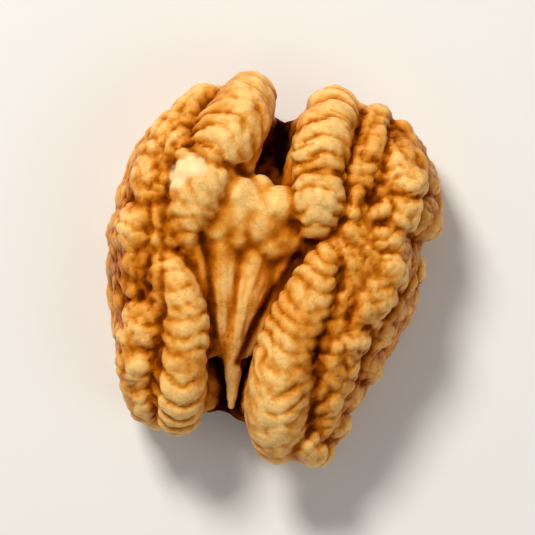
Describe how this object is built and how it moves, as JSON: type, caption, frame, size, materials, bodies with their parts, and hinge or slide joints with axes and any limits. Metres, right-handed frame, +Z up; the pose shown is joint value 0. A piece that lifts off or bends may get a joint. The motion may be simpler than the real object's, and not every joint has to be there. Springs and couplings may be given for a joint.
{
  "type": "walnut kernel half",
  "caption": "Half kernel of a cracked walnut: two deeply folded wings, a bridge and a root tip, lying on its flat face with the domed face up.",
  "frame": {"origin": "middle of the kernel's box seen from above, on the plane that the flat face lies on", "axes": "+Z up through the domed face, +Y along the kernel away from the root tip, +X across the two wings"},
  "size_m": [0.026, 0.0299, 0.013],
  "materials": {
    "seed_coat": "dried seed coat, golden brown, waxy satin, darker in the creases, with pale rubbed spots"
  },
  "bodies": {
    "root": {"kernel_half": "seed_coat"}
  },
  "joints": []
}
